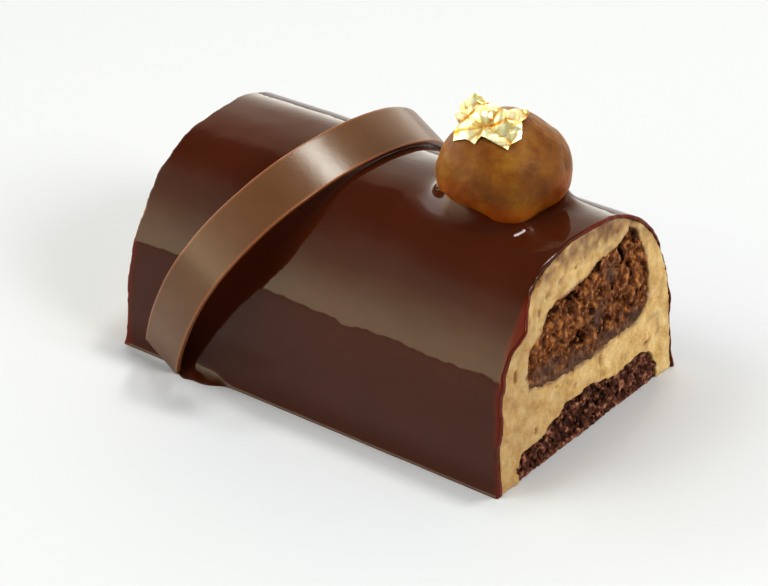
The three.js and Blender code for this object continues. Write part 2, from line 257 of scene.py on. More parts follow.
def largest_part(points, faces):
    """The mesh of quads without its small loose scraps."""
    label = np.arange(len(points))
    edges = np.concatenate([faces[:, [i, (i + 1) % 4]] for i in range(4)])
    while True:
        before = label.copy()
        low = np.minimum(label[edges[:, 0]], label[edges[:, 1]])
        np.minimum.at(label, edges[:, 0], low)
        np.minimum.at(label, edges[:, 1], low)
        label = label[label]
        if np.array_equal(before, label):
            break
    names, sizes = np.unique(label, return_counts=True)
    keep = label == names[sizes.argmax()]
    number = np.cumsum(keep) - 1
    return points[keep], number[faces[keep[faces[:, 0]]]]


# The log's outline and its cuts, as the solids have them

def arch_point(angle, inset):
    power = 2 / ROUNDNESS
    side = -np.cos(angle)
    y = (WIDTH / 2 - inset) * np.sign(side) * np.abs(side) ** power
    z = WALL + (HEIGHT - WALL - inset) * np.abs(np.sin(angle)) ** power
    return y, z


def swell(x, angle):
    return SWELL * noise(x / SWELL_LENGTH + 3.1, angle * 2.2, 8.7)


def cut_x(end, y, z):
    """Where a cut lies along the log: end is 1 for the shown cut and -1 for the far one."""
    lip = LIP_REACH * np.exp(-((y - LIP_Y) ** 2 + (z - LIP_Z) ** 2) / LIP_SIZE ** 2)
    lean = LENGTH / 2 - (CUT_LEAN_SHOWN if end > 0 else CUT_LEAN_FAR) * z
    uneven = wave(y, z, CUT_WAVE, CUT_WAVE_LENGTH, seed=end * 3.7)
    return end * (lean + uneven + (lip if end > 0 else 0))


def in_cut(end, y, z, depth):
    """A place that lies `depth` inside a cut."""
    return float(cut_x(end, y, z) - end * depth), y, z


def depth_from_cuts(x, y, z):
    """How far a place lies inside the nearer cut."""
    return np.minimum(cut_x(1, y, z) - x, x - cut_x(-1, y, z))


def under_outline(y, z, inset):
    """How deep a place lies under the outline, roughly; below zero outside."""
    across = np.abs(y) / (WIDTH / 2 - inset)
    up = np.maximum(z - WALL, 0) / (HEIGHT - WALL - inset)
    return (1 - (across ** ROUNDNESS + up ** ROUNDNESS) ** (1 / ROUNDNESS)) * (WIDTH / 2 - inset)


def line_at(line, y):
    """Height over y of a line given as points."""
    return np.interp(y, *np.array(line).T)


def inside_band(y, z, low, high):
    """How deep a place lies between two lines over y; below zero outside them."""
    ends = np.minimum(y - high[0][0], high[-1][0] - y)
    bottom = z - line_at(low, y)
    top = line_at(high, y) - z
    steepness = line_at(high, y + 0.5) - line_at(high, y - 0.5)
    return np.minimum(np.minimum(ends, bottom), top / np.sqrt(1 + steepness ** 2))


# Materials. A ramp's stop is a place and a colour or a grey, with the colours linear.

GLAZE_TONES = [(0.3, (0.064, 0.0165, 0.0062)), (0.7, (0.075, 0.0200, 0.0078))]
GLAZE_RIM = (0.125, 0.017, 0.005)
RIM_COLOUR_SHARE = [(0.0, 0.0), (0.6, 1.0)]
RIM_ROUGHNESS = [(0.0, 0.05), (0.5, 0.08), (1.0, 0.3)]
RIM_SPECULAR = [(0.4, 0.5), (1.0, 0.3)]
MOUSSE_TONES = [(0.34, (0.56, 0.350, 0.138)), (0.5, (0.695, 0.485, 0.222)),
                (0.68, (0.80, 0.620, 0.335))]
# Colour of the mousse's stains, also used for painted shade towards the front
MOUSSE_STAIN_AND_SHADE = (0.19, 0.088, 0.055)
SPONGE_TONES = [(0.34, (0.066, 0.021, 0.007)), (0.5, (0.190, 0.071, 0.025)),
                (0.65, (0.50, 0.240, 0.090))]
SPONGE_WET = [(0.3, (0.085, 0.045, 0.032)), (0.7, (0.17, 0.100, 0.070))]
# Painted shade in the sponge's hollows
SPONGE_HOLLOW_SHADE = (0.016, 0.005, 0.002)
BASE_TONES = [(0.36, (0.064, 0.021, 0.011)), (0.52, (0.140, 0.050, 0.028)),
              (0.66, (0.47, 0.235, 0.150))]
# Painted shade in the base's hollows
BASE_HOLLOW_SHADE = (0.012, 0.003, 0.0015)
CHOCOLATE_TONES = [(0.3, (0.141, 0.072, 0.038)), (0.7, (0.163, 0.085, 0.046))]
# Painted highlight along the strip's edges
CHOCOLATE_EDGE_HIGHLIGHT = (0.29, 0.120, 0.055)
CHESTNUT_TONES = [(0.34, (0.148, 0.053, 0.011)), (0.5, (0.222, 0.092, 0.019)),
                  (0.66, (0.30, 0.155, 0.030))]
CHESTNUT_LOWER_ORANGE = [(0.34, (0.25, 0.048, 0.002)), (0.66, (0.40, 0.108, 0.004))]
LEAF_TONES = [(0.38, (1.0, 0.83, 0.36)), (0.6, (1.0, 0.96, 0.66))]
# Painted shade in the leaf's valleys
LEAF_CREASE_SHADE = (0.66, 0.27, 0.015)
FLOOR_COLOUR = (0.585, 0.586, 0.61, 1)


def settle(tree, node, values):
    """Gives a node its inputs, each a value or another node's output."""
    for name, value in values.items():
        if isinstance(value, bpy.types.NodeSocket):
            tree.links.new(value, node.inputs[name])
        else:
            node.inputs[name].default_value = value


def start_material(name):
    """A material, its tree and its shader, and object coordinates in millimetres."""
    material = bpy.data.materials.new(name)
    material.use_nodes = True
    tree = material.node_tree
    coords = tree.nodes.new("ShaderNodeTexCoord")
    mapping = tree.nodes.new("ShaderNodeMapping")
    settle(tree, mapping, {"Scale": (1.0 / MM,) * 3, "Vector": coords.outputs["Object"]})
    return material, tree, tree.nodes["Principled BSDF"], mapping.outputs["Vector"]


def texture(tree, where, scale, detail=4.0, roughness=0.55):
    """Noise from 0 to 1, with `scale` waves to a millimetre."""
    node = tree.nodes.new("ShaderNodeTexNoise")
    settle(tree, node, {"Scale": scale, "Detail": detail, "Roughness": roughness, "Vector": where})
    return node.outputs["Fac"]


def grain(tree, shader, where, height, **noise_values):
    """Fine relief in the shading, `height` millimetres high."""
    bumps = texture(tree, where, **noise_values)
    node = tree.nodes.new("ShaderNodeBump")
    settle(tree, node, {"Distance": height * MM, "Strength": 1.0, "Height": bumps})
    settle(tree, shader, {"Normal": node.outputs["Normal"]})


def rgb(value):
    """A colour, also from a grey."""
    return (value,) * 3 if isinstance(value, float) else value


def ramp(tree, factor, *stops):
    node = tree.nodes.new("ShaderNodeValToRGB")
    elements = node.color_ramp.elements
    while len(elements) < len(stops):
        elements.new(0.5)
    for element, (position, colour) in zip(elements, stops):
        element.position = position
        element.color = (*rgb(colour), 1)
    settle(tree, node, {"Fac": factor})
    return node.outputs["Color"]


def mix(tree, factor, first, second, kind="MIX"):
    """Two colours mixed, each a socket or a value."""
    node = tree.nodes.new("ShaderNodeMix")
    node.data_type = "RGBA"
    node.blend_type = kind
    places = [i for i, s in enumerate(node.inputs) if s.type == "RGBA"]
    values = [(*v, 1) if isinstance(v, tuple) else v for v in (first, second)]
    settle(tree, node, {0: factor, **dict(zip(places, values))})
    return [s for s in node.outputs if s.type == "RGBA"][0]


def attribute(tree, name, *stops):
    """One of the mesh's own attributes, through a ramp; as it is, from 0 to 1, without stops."""
    node = tree.nodes.new("ShaderNodeAttribute")
    node.attribute_name = name
    return ramp(tree, node.outputs["Fac"], *(stops or [(0.0, 0.0), (1.0, 1.0)]))


def glaze_material():
    material, tree, shader, where = start_material("glaze")
    base = ramp(tree, texture(tree, where, scale=0.05, detail=3.0), *GLAZE_TONES)
    settle(tree, shader, {
        "Base Color": mix(tree, attribute(tree, "rim", *RIM_COLOUR_SHARE), base, GLAZE_RIM),
        "Roughness": attribute(tree, "rim", *RIM_ROUGHNESS),
        "Specular IOR Level": attribute(tree, "rim", *RIM_SPECULAR),
        "IOR": 1.47,
    })
    grain(tree, shader, where, height=0.05, scale=0.22, detail=2.0)
    return material


def mousse_material():
    material, tree, shader, where = start_material("mousse")
    mottle = texture(tree, where, scale=0.32, detail=6.0, roughness=0.62)
    base = ramp(tree, mottle, *MOUSSE_TONES)
    settle(tree, shader, {
        # Stains, with painted shade towards the front mixed in
        "Base Color": mix(tree, attribute(tree, "stain_and_shade"), base, MOUSSE_STAIN_AND_SHADE),
        "Roughness": 0.58,
        "Specular IOR Level": 0.4,
        "Subsurface Weight": 0.35,
        "Subsurface Radius": (0.9, 0.5, 0.25),
        "Subsurface Scale": 0.9 * MM,
    })
    grain(tree, shader, where, height=0.4, scale=2.6, detail=5.0, roughness=0.65)
    return material


def sponge_material():
    material, tree, shader, where = start_material("sponge")
    crumb = texture(tree, where, scale=0.75, detail=6.0, roughness=0.6)
    base = ramp(tree, crumb, *SPONGE_TONES)
    wet = ramp(tree, crumb, *SPONGE_WET)
    soaked = mix(tree, attribute(tree, "soak"), base, wet)
    # Hollows darkened by their depth from the cut: painted shade
    colour = mix(tree, attribute(tree, "deep"), soaked, SPONGE_HOLLOW_SHADE)
    settle(tree, shader, {"Base Color": colour, "Roughness": 0.7, "Specular IOR Level": 0.2})
    grain(tree, shader, where, height=0.25, scale=3.2, detail=4.0, roughness=0.6)
    return material


def base_material():
    material, tree, shader, where = start_material("crunchy_base")
    lump = texture(tree, where, scale=0.8, detail=5.0, roughness=0.6)
    # Hollows darkened by their depth from the cut: painted shade
    colour = mix(tree, attribute(tree, "deep"), ramp(tree, lump, *BASE_TONES), BASE_HOLLOW_SHADE)
    settle(tree, shader, {"Base Color": colour, "Roughness": 0.5, "Specular IOR Level": 0.25})
    grain(tree, shader, where, height=0.3, scale=2.8, detail=4.0, roughness=0.6)
    return material


def chocolate_material():
    material, tree, shader, where = start_material("chocolate")
    base = ramp(tree, texture(tree, where, scale=0.12, detail=4.0), *CHOCOLATE_TONES)
    # Lighter along the outer edges: painted highlight
    colour = mix(tree, attribute(tree, "edge"), base, CHOCOLATE_EDGE_HIGHLIGHT)
    settle(tree, shader, {"Base Color": colour, "Roughness": 0.24})
    grain(tree, shader, where, height=0.026, scale=2.2, detail=4.0, roughness=0.7)
    return material


def chestnut_material():
    material, tree, shader, where = start_material("chestnut")
    mottle = texture(tree, where, scale=0.13, detail=5.0, roughness=0.6)
    dull, glow = ramp(tree, mottle, *CHESTNUT_TONES), ramp(tree, mottle, *CHESTNUT_LOWER_ORANGE)
    settle(tree, shader, {
        "Base Color": mix(tree, attribute(tree, "low"), dull, glow),
        "Roughness": 0.35,
        "Specular IOR Level": 0.22,
        "Subsurface Weight": 0.5,
        "Subsurface Radius": (3.0, 1.1, 0.35),
        "Subsurface Scale": 1.0 * MM,
    })
    grain(tree, shader, where, height=0.17, scale=0.9, detail=6.0, roughness=0.65)
    return material


def leaf_material():
    material, tree, shader, where = start_material("gold_leaf")
    base = ramp(tree, texture(tree, where, scale=0.5, detail=4.0), *LEAF_TONES)
    # Valleys darkened to orange brown: painted shade
    colour = mix(tree, attribute(tree, "crease_shade"), base, LEAF_CREASE_SHADE)
    settle(tree, shader, {"Base Color": colour, "Metallic": 0.65, "Roughness": 0.24})
    grain(tree, shader, where, height=0.05, scale=1.3, detail=4.0, roughness=0.6)
    return material


# Glaze

GLAZE_AROUND, GLAZE_ALONG = 190, 226
GLAZE_FOOT_BOTTOM = 0.08
# Columns on each upright side, and how they crowd towards the foot
FOOT_COLUMNS, FOOT_CROWDING = 15, 1.6
# How far the stations along the log crowd towards the cuts
END_CROWDING = 0.1
ROUND_OFF = 0.38 * GLAZE
FOOT_SPREAD, FOOT_FALL = 0.5, 0.8
# Pool of glaze beside the arch's foot: place along the log, half length, reach, height and wave
POOL_X, POOL_HALF, POOL_REACH, POOL_FALL = -27.3, 6.0, 2.7, 1.5
POOL_WAVE, POOL_WAVE_LENGTH = 0.2, 2.2
RIM_RIPPLE, RIM_RIPPLE_LENGTH = 0.22, 1.3
SKIN_RIPPLE, SKIN_RIPPLE_LENGTH = 0.05, 9.0
# Thinning of the glaze towards both cuts, and how much less of it there is low on the front
THIN_SHARE, THIN_REACH = 0.5, 2.2
THIN_LESS, THIN_FRONT_TOP = 0.8, 30
# Thin, redder glaze at both cuts: how far it reaches, and how much further low on the front
RED_START, RED_REACH, RED_RAGGED = -0.3, 0.6, 0.5
RED_MORE, RED_FRONT_TOP = 1.5, 34
FRONT_FADE = 8
# Glaze drawn up around the chestnut: direction, height, width in degrees, reach and start of the
# slope, and its power
COLLAR = [
    (0, 0.35, 900, 1.4, 11.2, 2), (-110, 4.8, 40, 2.0, 11.5, 1), (-42, 0.9, 26, 2.4, 12.7, 2),
    (34, 2.8, 20, 1.5, 12.2, 1),
]
COLLAR_DEPTH = 9


def collar(x, y):
    """How far the glaze is drawn up around the chestnut, most to the front left."""
    dx, dy = x - CHESTNUT[0], y - CHESTNUT[1]
    reach, way = np.hypot(dx, dy), np.degrees(np.arctan2(dy, dx))
    total = 0.0
    for degrees, height, width, fall, start, power in COLLAR:
        turn = (way - degrees + 180) % 360 - 180
        slope = (np.maximum(reach - start, 0) / fall) ** power
        total = total + height * np.exp(-(turn / width) ** 2 - slope)
    return total


def low_front(y, z, top):
    """1 low on the front side, fading out to 0 at a height."""
    return np.clip((top - z) / FRONT_FADE, 0, 1) * (y < 0)


def glaze_columns():
    """Angle, height and side of each column, from the near foot over the top to the far foot."""
    share = np.linspace(0, 1, FOOT_COLUMNS)[:-1] ** FOOT_CROWDING
    foot = GLAZE_FOOT_BOTTOM + (WALL - GLAZE_FOOT_BOTTOM) * share
    arch = np.linspace(0, math.pi, GLAZE_AROUND)
    angle = np.concatenate([np.zeros(len(foot)), arch, np.full(len(foot), math.pi)])
    height = np.concatenate([foot, np.zeros(len(arch)), foot[::-1]])
    side = np.concatenate([-np.ones(len(foot)), np.zeros(len(arch)), np.ones(len(foot))])
    return angle, height, side


def glaze_depth(y, z, nearest):
    """Thickness of the glaze: thinner at the cuts, less so low on the front."""
    thin = THIN_SHARE * (1 - THIN_LESS * low_front(y, z, THIN_FRONT_TOP))
    return GLAZE * (1 - thin * np.exp(-np.maximum(nearest, 0) / THIN_REACH))


def glaze_surface(angle, height, side, share, depth):
    """Points of the glaze `depth` under its skin: columns by stations."""
    y, z = arch_point(angle, depth)
    on_wall = side != 0
    y = np.where(on_wall, side * (WIDTH / 2 - depth), y)[:, None]
    z = np.where(on_wall, height, z)[:, None]
    angle = angle[:, None]

    def rim(end, reach):
        waves = RIM_WAVE * rough(y, z, RIM_WAVE_LENGTH, seed=end * 2.9 + 60)
        waves = waves + RIM_RIPPLE * rough(y, z, RIM_RIPPLE_LENGTH, seed=end * 4.1 + 9)
        return cut_x(end, y, z) + end * (reach * np.exp(-z / SKIRT_FALL) + waves)

    far, shown = rim(-1, SKIRT_FAR), rim(1, SKIRT_SHOWN)
    x = far + (shown - far) * share
    out = np.where(on_wall[:, None], 0.0, swell(x, angle) * np.sin(angle))
    nearest = np.minimum(x - far, shown - x)
    return x, y, z, out, angle, nearest


def redness(x, y, z):
    """How thin and red the glaze is at a cut, from 0 to 1, with a ragged edge."""
    ragged = 0.5 + 0.5 * rough(y, z, scale=3.0, seed=31.0)
    lean = np.where(x > 0, CUT_LEAN_SHOWN, CUT_LEAN_FAR)
    distance = LENGTH / 2 - lean * z - np.abs(x)
    reach = RED_REACH + (RED_RAGGED + RED_MORE * low_front(y, z, RED_FRONT_TOP)) * ragged
    return np.clip(1 - (distance - RED_START) / reach, 0, 1)


def make_glaze():
    columns = glaze_columns()
    side = columns[2][:, None]
    t = np.linspace(0, 1, GLAZE_ALONG)[None, :]
    share = t - np.sin(2 * math.pi * t) * END_CROWDING
    x, y, z, out, turn, nearest = glaze_surface(*columns, share, 0.0)
    inward = np.clip(ROUND_OFF - nearest, 0, None)
    sunk = ROUND_OFF - np.sqrt(np.maximum(ROUND_OFF ** 2 - inward ** 2, 0))
    foot = FOOT_SPREAD * np.exp(-z / FOOT_FALL)
    pool = POOL_REACH * np.exp(-((x - POOL_X) / POOL_HALF) ** 4) * np.exp(-z / POOL_FALL)
    foot = foot + pool * (side < 0) * (1 + POOL_WAVE * noise(x / POOL_WAVE_LENGTH, 1.5, 2.5))
    ripple = SKIN_RIPPLE * layers_of_noise(x, y, z, SKIN_RIPPLE_LENGTH, octaves=2, seed=3.0)
    out = out - sunk + foot * (side != 0) + ripple
    lift = collar(x, y) * (z > HEIGHT - COLLAR_DEPTH)
    outer = np.stack([x, y - np.cos(turn) * out, z + np.sin(turn) * out + lift], -1)
    x, y, z, out, turn, nearest = glaze_surface(*columns, share[:, ::-1], 0.0)
    _, deep_y, deep_z, *_ = glaze_surface(*columns, share[:, ::-1], GLAZE)
    deep = glaze_depth(y, z, nearest) / GLAZE
    y, z = y + (deep_y - y) * deep, z + (deep_z - z) * deep
    inner = np.stack([x, y - np.cos(turn) * out, z + np.sin(turn) * out], -1)
    loops = np.concatenate([outer, inner], 1)
    points = loops.reshape(-1, 3)
    new_piece("glaze_skin", points, folded_tube(*loops.shape[:2]), glaze_material(), "glaze",
              {"rim": redness(*points.T)})


# Fillings, each a field on a grid that is fine at both cuts and coarse between them

GRID_PAST_CUTS = 3
GRID_MIDDLE_LINES = 12
TABLE = [(-30, 0), (30, 0)]
BELOW_TABLE = [(-30, -5), (30, -5)]


def along_log(step, depth):
    """Grid lines along the log: fine within `depth` of each cut, coarse between."""
    reach = LENGTH / 2 + GRID_PAST_CUTS
    inner = LENGTH / 2 - CUT_LEAN_SHOWN * HEIGHT - depth
    fine = np.arange(inner, reach, step)
    middle = np.linspace(-inner, inner, GRID_MIDDLE_LINES)[1:-1]
    return np.concatenate([-fine[::-1], middle, fine])


def up_from_table(step, top):
    """Grid lines upwards, the first of them just below the table."""
    return np.arange(-step * 0.5 + 0.02, top, step)


def grid(xs, ys, zs):
    return xs[:, None, None], ys[None, :, None], zs[None, None, :]


def block_near(axes, centre, reach):
    """The part of a grid within reach of a place, as slices and as coordinates."""
    spans = [np.searchsorted(a, (c - reach, c + reach)) for a, c in zip(axes, centre)]
    block = tuple(slice(*span) for span in spans)
    return block, grid(*[a[s] for a, s in zip(axes, block)])


def scoop(level, axes, centre, radius):
    """Takes a round hollow out of a field."""
    block, where = block_near(axes, centre, radius + 0.6)
    distance = np.sqrt(sum((v - c) ** 2 for v, c in zip(where, centre)))
    level[block] = np.minimum(level[block], distance - radius)


def heap(level, axes, centre, radii):
    """Adds a lump to a field."""
    block, where = block_near(axes, centre, max(radii) + 0.5)
    away = np.sqrt(sum(((v - c) / r) ** 2 for v, c, r in zip(where, centre, radii)))
    level[block] = np.maximum(level[block], (1 - away) * min(radii))


MOUSSE_STEP, MOUSSE_FINE_DEPTH = 0.30, 2.2
# How far the mousse laps into the glaze, and how far its face lies back
MOUSSE_LAP, MOUSSE_SUNK = 0.1, 0.1
BUBBLES, BUBBLE_SEED = 170, 11
# Larger bubbles and slots at both cuts, as y, z, half width and half height
PORES = [
    (-3.6, 36.7, 0.5, 0.5), (-0.4, 37.5, 0.35, 0.35), (-15.7, 32.5, 0.4, 0.9),
    (-23.7, 22.8, 0.5, 1.5), (20.7, 9.7, 1.5, 0.35), (4.4, 13.1, 0.45, 1.3),
    (-17.7, 8.4, 0.5, 0.9), (10.3, 38.3, 0.4, 0.4),
]
# Smears of sponge that the knife left, as y, z, half width, half height and strength
STAINS = [
    (-8.7, 36.3, 1.3, 1.0, 0.85), (-13.1, 35.1, 1.6, 1.0, 0.5), (-15.7, 32.3, 0.9, 2.2, 0.6),
    (1.0, 39.8, 6.5, 2.0, 0.72), (8.7, 39.2, 4.0, 2.0, 0.78), (7.3, 35.9, 1.8, 0.9, 0.85),
    (15.3, 38.6, 3.0, 1.7, 0.95), (20.5, 35.0, 2.2, 2.4, 0.8), (23.6, 32.0, 1.0, 2.4, 0.5),
    (22.8, 14.3, 1.9, 0.8, 0.6), (24.9, 11.6, 0.9, 2.4, 0.5), (20.7, 9.7, 1.2, 0.5, 0.6),
    (-22.8, 20.0, 0.8, 3.0, 0.3), (-19.6, 8.4, 0.9, 1.4, 0.4), (4.4, 13.1, 1.0, 0.5, 0.4),
]
# Painted shade towards the front, ragged tone, halo round the sponge and brown top: strength, and
# where it fades out
FRONT_PAINTED_SHADE, FRONT_PAINTED_SHADE_START, FRONT_PAINTED_SHADE_WIDTH, HAZE_RAGGED = 0.30, 0.30, 28, 0.16
HALO, HALO_REACH = 0.75, 0.75
BROWN_TOP, BROWN_TOP_START, BROWN_TOP_FADE = 0.72, 35.5, 3.5
STAIN_EVEN, STAIN_RAGGED = 0.8, 0.7


def mousse_stain_and_shade(y, z):
    """How brown the mousse is stained, with painted shade towards the front, from 0 to 1."""
    ragged = STAIN_EVEN + STAIN_RAGGED * rough(y, z, scale=1.6, seed=3.0)
    # Painted shade: the face darkens towards the front
    stain_and_shade = FRONT_PAINTED_SHADE * np.clip(FRONT_PAINTED_SHADE_START - y / FRONT_PAINTED_SHADE_WIDTH, 0, 1)
    stain_and_shade = stain_and_shade + HAZE_RAGGED * (ragged - STAIN_EVEN)
    for *smear, strength in STAINS:
        stain_and_shade = np.maximum(stain_and_shade, strength * spot(y, z, *smear) * np.clip(ragged, 0.5, 1.2))
    away = np.maximum(-inside_band(y, z, SPONGE_BOTTOM, SPONGE_TOP), 0)
    halo = HALO * np.clip(ragged, 0.3, 1.3) * np.exp(-(away / HALO_REACH) ** 2)
    top = BROWN_TOP * np.clip(ragged, 0.4, 1.3)
    top = top * np.clip((z - BROWN_TOP_START) / BROWN_TOP_FADE, 0, 1)
    return np.clip(np.maximum(np.maximum(stain_and_shade, halo), top), 0, 1)


def make_mousse():
    step = MOUSSE_STEP * 1
    axes = (along_log(step * 0.8, MOUSSE_FINE_DEPTH),
            np.arange(-WIDTH / 2, WIDTH / 2 + step, step), up_from_table(step, HEIGHT))
    x, y, z = grid(*axes)
    seam = 0.42 * rough(y, z, scale=1.9, seed=4.4) + wave(y, z, height=0.2, scale=0.55, seed=1.4)
    filling = np.maximum(inside_band(y, z, SPONGE_BOTTOM, SPONGE_TOP),
                         inside_band(y, z, BELOW_TABLE, BASE_TOP))
    depth = depth_from_cuts(x, y, z)
    wall = np.minimum(under_outline(y, z, glaze_depth(y, z, depth) - MOUSSE_LAP), z)
    smear = 0.22 * rough(y, z, scale=3.1, seed=12.0) + 0.09 * noise(y / 0.75, z / 0.6, 3.0)
    level = np.minimum(np.minimum(wall, seam - filling), depth - MOUSSE_SUNK + smear)
    random = np.random.default_rng(BUBBLE_SEED)
    for end in (-1, 1):
        for _ in range(BUBBLES):
            py, pz = random.uniform(-28, 28), random.uniform(1, 41)
            radius = 0.18 + 0.75 * random.random() ** 5
            centre = in_cut(end, py, pz, -random.uniform(-0.3, 0.25) * radius)
            scoop(level, axes, centre, radius)
        for py, pz, across, up in PORES:
            radius = min(across, up)
            for t in np.linspace(-1, 1, 4):
                at = py + t * (across - radius), pz + t * (up - radius)
                scoop(level, axes, in_cut(end, *at, 0.1 + 0.4 * radius), radius)
    points, faces = net(level, *axes)
    points[:, 2] = np.maximum(points[:, 2], 0.0)
    new_piece("mousse_body", points, faces, mousse_material(), "mousse",
              {"stain_and_shade": mousse_stain_and_shade(points[:, 1], points[:, 2])})


SPONGE_STEP, SPONGE_FINE_DEPTH = 0.26, 3.6
SPONGE_Y, SPONGE_Z = (-20.5, 23), (13.5, 39.5)
# How far the sponge swells into its seam, how far its face lies back, less so where it is soaked
SPONGE_SWELL, SPONGE_RECESS, SOAKED_FULLER = 0.45, 0.55, 0.25
TORN_RELIEF, SOAKED_SMOOTHER = 1.25, 0.8
CRUMBS, CRUMB_SEED = 420, 37
# Hollows torn out at both cuts, as y, z, radius and how far they are drawn upwards
TORN = [
    (-10.1, 32.2, 1.2, 1.3), (-11.4, 30.3, 1.3, 1.2), (-7.4, 31.4, 0.9, 1.0),
    (-4.4, 31.2, 1.0, 1.0), (-0.5, 31.9, 1.1, 1.0), (2.0, 32.8, 1.0, 1.2), (4.1, 33.6, 1.0, 1.4),
    (11.9, 32.1, 1.1, 1.5), (15.2, 26.1, 0.8, 2.0), (11.9, 23.5, 0.8, 1.8), (5.3, 27.3, 1.1, 0.9),
    (-1.4, 20.4, 1.2, 0.9), (-4.5, 27.6, 0.9, 1.1), (0.6, 21.6, 0.8, 1.0), (-14.0, 25.9, 0.9, 1.2),
    (16.6, 35.0, 0.7, 1.6), (9.0, 27.0, 0.8, 1.4), (-9.0, 23.0, 0.8, 1.0), (17.5, 22.0, 0.6, 1.8),
    (2.5, 24.4, 0.7, 1.0),
]
# Soaked, smooth places, as y, z, half width and half height
SOAKED = [
    (4.5, 22.7, 3.0, 2.6), (8.6, 29.9, 2.0, 2.4), (-13.0, 19.3, 5.0, 1.8), (-4.1, 17.3, 5.0, 1.5),
    (7.1, 17.0, 5.0, 1.4), (16.6, 17.4, 3.4, 1.8),
]
SOAKED_BOTTOM, SOAKED_FADE = 1.2, 1.6
# Depth from the cut at which shade is painted into the hollows of the sponge, and over which it
# grows full
SPONGE_SHADE_START, SPONGE_SHADE_FADE = 0.8, 1.0


def soaked_places(y, z):
    """How soaked the sponge is: along its bottom and in a few patches, from 0 to 1."""
    soaked = np.clip(SOAKED_BOTTOM - (z - line_at(SPONGE_BOTTOM, y)) / SOAKED_FADE, 0, 1)
    for patch in SOAKED:
        soaked = np.maximum(soaked, spot(y, z, *patch))
    return np.clip(soaked + wave(y, z, height=0.25, scale=1.3, seed=3.3), 0, 1)


def make_sponge():
    step = SPONGE_STEP * 1
    axes = (along_log(step, SPONGE_FINE_DEPTH), np.arange(*SPONGE_Y, step),
            np.arange(*SPONGE_Z, step))
    x, y, z = grid(*axes)
    section = inside_band(y, z, SPONGE_BOTTOM, SPONGE_TOP) + SPONGE_SWELL
    section = section + wave(y, z, height=0.3, scale=1.1, seed=7.1)
    depth = depth_from_cuts(x, y, z)
    soaked = soaked_places(y, z)
    torn = (TORN_RELIEF - SOAKED_SMOOTHER * soaked) * layers_of_noise(x, y, z, 1.7, 3, 5.0)
    face = depth - SPONGE_RECESS + SOAKED_FULLER * soaked + torn
    level = np.minimum(section + 0.05 * torn, face)
    random = np.random.default_rng(CRUMB_SEED)
    for end in (-1, 1):
        for ty, tz, radius, drawn in TORN:
            for t in np.linspace(-1, 1, 3):
                py = ty + random.uniform(-0.3, 0.3) * radius
                pz = tz + t * (drawn - 0.8) * radius
                size = radius * random.uniform(0.75, 1.05)
                scoop(level, axes, in_cut(end, py, pz, 0.55 + 0.35 * size), size)
        for _ in range(CRUMBS):
            py = random.uniform(-19, 21)
            pz = random.uniform(line_at(SPONGE_BOTTOM, py) + 0.4, line_at(SPONGE_TOP, py) - 0.4)
            size = 0.28 + 0.45 * random.random() ** 2
            centre = in_cut(end, py, pz, size + random.uniform(0.1, 1.3))
            heap(level, axes, centre, size * random.uniform(0.7, 1.3, 3))
    level = np.minimum(level, np.minimum(section + 0.1, depth - 0.1))
    points, faces = largest_part(*net(level, *axes))
    # Painted shade, growing deeper in from the cut
    deep = (depth_from_cuts(*points.T) - SPONGE_SHADE_START) / SPONGE_SHADE_FADE
    new_piece("sponge_crumb", points, faces, sponge_material(), "sponge",
              {"soak": soaked_places(points[:, 1], points[:, 2]), "deep": np.clip(deep, 0, 1)})


BASE_STEP, BASE_FINE_DEPTH = 0.24, 2.6
BASE_Y, BASE_HEIGHT = (-24, 27), 10
# How far the base swells into its seam, and how far its face lies back, least at the table
BASE_SWELL, BASE_SWELL_LIMIT = 0.3, 0.6
BASE_RECESS, BASE_RECESS_UP, BASE_RECESS_RISE = 0.12, 1.2, 0.5
BASE_CRUMBS, BASE_CRUMB_SEED = 760, 23
# Depth from the cut at which shade is painted into the base's hollows, and over which it grows full
BASE_SHADE_START, BASE_SHADE_FADE = 0.7, 1.2


def make_base():
    step = BASE_STEP * 1
    axes = (along_log(step, BASE_FINE_DEPTH), np.arange(*BASE_Y, step),
            up_from_table(step, BASE_HEIGHT))
    x, y, z = grid(*axes)
    section = inside_band(y, z, TABLE, BASE_TOP)
    depth = depth_from_cuts(x, y, z)
    up = 1 - np.exp(-z / BASE_RECESS_RISE)
    recess = BASE_RECESS + up * (BASE_RECESS_UP + wave(y, z, height=0.5, scale=2.3, seed=6.6))
    swelled = section + BASE_SWELL + wave(y, z, height=0.3, scale=1.0, seed=2.2)
    level = np.minimum(swelled, depth - recess)
    random = np.random.default_rng(BASE_CRUMB_SEED)
    for end in (-1, 1):
        for _ in range(BASE_CRUMBS):
            py = random.uniform(-22.9, 24.0)
            pz = random.uniform(0.4, line_at(BASE_TOP, py) - 0.1)
            size = 0.3 + 0.75 * random.random() ** 3
            radii = size * random.uniform(0.6, 1.35, 3)
            heap(level, axes, in_cut(end, py, pz, size + random.uniform(0.1, 1.5)), radii)
    level = level + 0.16 * noise(x / 0.7, y / 0.7, z / 0.7)
    level = level + 0.10 * noise(x / 0.4, y / 0.4, z / 0.4 + 7)
    level = np.minimum(level, section + BASE_SWELL_LIMIT)
    level = np.minimum(level, np.minimum(depth - 0.1, z + 0 * x + 0 * y))
    points, faces = largest_part(*net(level, *axes))
    # Painted shade, growing deeper in from the cut
    deep = (depth_from_cuts(*points.T) - BASE_SHADE_START) / BASE_SHADE_FADE
    points[:, 2] = np.maximum(points[:, 2], 0.0)
    new_piece("base_crumb", points, faces, base_material(), "crunchy_base",
              {"deep": np.clip(deep, 0, 1)})


# Candied chestnut

CHESTNUT_SUBDIVISIONS = 6
CHESTNUT_GRAIN, CHESTNUT_GRAIN_SCALE = 0.17, 0.34
